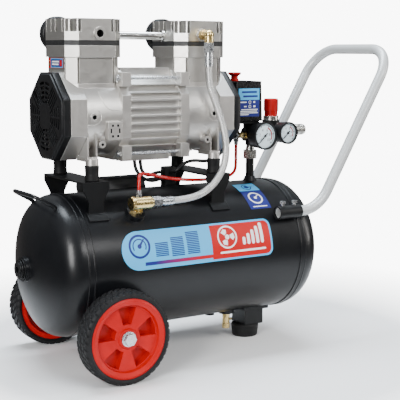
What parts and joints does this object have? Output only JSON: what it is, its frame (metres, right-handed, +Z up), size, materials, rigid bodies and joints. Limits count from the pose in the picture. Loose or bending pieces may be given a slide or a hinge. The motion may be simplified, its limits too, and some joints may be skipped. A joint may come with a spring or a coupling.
{
  "type": "air compressor",
  "caption": "Portable oil-free air compressor: finned motor and cylinder heads on a wheeled horizontal tank, with gauges, regulator, braided hose and push handle.",
  "frame": {"origin": "on the floor under the middle of the whole machine", "axes": "+X along the tank towards the push handle, +Y away from the gauges' side, +Z up"},
  "size_m": [0.7522, 0.3428, 0.616],
  "materials": {
    "tank_black": "satin black powder coat",
    "wheel_red": "satin red moulding",
    "tyre": "matte black rubber with a fine tread",
    "rubber": "matte black rubber",
    "handle_silver": "silver-grey powder coat",
    "cast_aluminium": "sand-cast, lightly blasted",
    "machined_aluminium": "machined",
    "steel": "zinc plated",
    "chrome": "polished",
    "brass": "turned brass",
    "black_plastic": "moulded, fine grain",
    "black_metal": "black cast metal",
    "red_plastic": "moulded red",
    "red_tube": "smooth red nylon",
    "braid": "woven stainless wire",
    "cable": "smooth black sheath",
    "gauge": "black case, white dial",
    "gasket": "black gasket and valve plate edge",
    "winding": "laminated steel and varnished windings"
  },
  "bodies": {
    "compressor": {"tank_shell": "tank_black", "tank_end_left": "tank_black", "tank_end_right": "tank_black", "tank_plugs": "black_metal", "grab_handle": "tank_black", "push_handle": "handle_silver", "handle_sockets": "tank_black", "handle_bolts": "steel", "axle_bolts": "steel", "chassis_brackets": "tank_black", "rubber_foot": "rubber", "drain_valve": "brass", "saddle_brackets": "tank_black", "rubber_mounts": "rubber", "crankcase_left": "cast_aluminium", "crankcase_right": "cast_aluminium", "cylinder_head_left": "cast_aluminium", "cylinder_head_right": "cast_aluminium", "cylinders": "cast_aluminium", "fan_covers": "black_plastic", "motor_shell": "cast_aluminium", "stator": "winding", "shaft_bearings": "steel", "tie_bolts": "steel", "valve_plates": "gasket", "head_bolts": "steel", "transfer_tube": "chrome", "intake_filters": "black_plastic", "brass_elbow": "brass", "fittings": "steel", "delivery_hose": "braid", "check_valve": "brass", "unloader_tube": "red_tube", "riser_pipe": "black_metal", "manifold": "black_metal", "pressure_switch": "black_plastic", "gauges": "gauge", "outlet_coupler": "steel", "safety_valve": "brass", "capacitor_box": "black_plastic", "motor_cable_1": "cable", "motor_cable_2": "cable", "switch_cable": "cable"},
    "wheel_front": {"wheel_hub_front": "wheel_red", "tyre_front": "tyre"},
    "wheel_rear": {"wheel_hub_rear": "wheel_red", "tyre_rear": "tyre"},
    "motor": {"rotor": "winding", "motor_shaft": "steel", "cranks": "steel", "fans": "black_plastic"},
    "piston_left": {"piston_left": "machined_aluminium"},
    "piston_right": {"piston_right": "machined_aluminium"},
    "pull_knob": {"pull_knob": "red_plastic"},
    "regulator_knob": {"regulator_knob": "red_plastic"},
    "needle_large": {"gauge_needle_large": "black_plastic"},
    "needle_small": {"gauge_needle_small": "black_plastic"},
    "drain_knob": {"drain_knob": "brass"},
    "coupler_sleeve": {"coupler_sleeve": "brass"},
    "safety_ring": {"safety_ring": "steel"}
  },
  "joints": [
    {"name": "wheel_front_spin", "type": "hinge", "parent": "compressor", "child": "wheel_front", "pos_m": [-0.24709, -0.146, 0.0805], "axis": [0, 1, 0], "continuous": true},
    {"name": "wheel_rear_spin", "type": "hinge", "parent": "compressor", "child": "wheel_rear", "pos_m": [-0.24709, 0.146, 0.0805], "axis": [0, 1, 0], "continuous": true},
    {"name": "motor_spin", "type": "hinge", "parent": "compressor", "child": "motor", "pos_m": [-0.13959, 0, 0.4447], "axis": [1, 0, 0], "continuous": true},
    {"name": "piston_left_stroke", "type": "slide", "parent": "compressor", "child": "piston_left", "axis": [0, 0, 1], "range_m": [-0.009, 0.009]},
    {"name": "piston_right_stroke", "type": "slide", "parent": "compressor", "child": "piston_right", "axis": [0, 0, 1], "range_m": [-0.009, 0.009]},
    {"name": "pull_knob_lift", "type": "slide", "parent": "compressor", "child": "pull_knob", "axis": [0, 0, 1], "range_m": [0, 0.006]},
    {"name": "regulator_turn", "type": "hinge", "parent": "compressor", "child": "regulator_knob", "pos_m": [0.15891, 0, 0.44], "axis": [0, 0, 1], "range_deg": [-360, 360]},
    {"name": "large_gauge", "type": "hinge", "parent": "compressor", "child": "needle_large", "pos_m": [0.10991, -0.05, 0.3978], "axis": [0, 1, 0], "range_deg": [0, 270], "stiffness_Nm_per_rad": 0.002},
    {"name": "small_gauge", "type": "hinge", "parent": "compressor", "child": "needle_small", "pos_m": [0.15891, -0.0565, 0.4018], "axis": [0, 1, 0], "range_deg": [0, 270], "stiffness_Nm_per_rad": 0.002},
    {"name": "drain_turn", "type": "hinge", "parent": "compressor", "child": "drain_knob", "pos_m": [0.05691, 0, 0.03], "axis": [0, 0, 1], "range_deg": [0, 180]},
    {"name": "coupler_release", "type": "slide", "parent": "compressor", "child": "coupler_sleeve", "axis": [-1, 0, 0], "range_m": [0, 0.006], "stiffness_N_per_m": 200, "springref_m": -0.004},
    {"name": "relief_pull", "type": "slide", "parent": "compressor", "child": "safety_ring", "axis": [-1, 0, 0], "range_m": [0, 0.003], "stiffness_N_per_m": 60, "springref_m": -0.004}
  ]
}
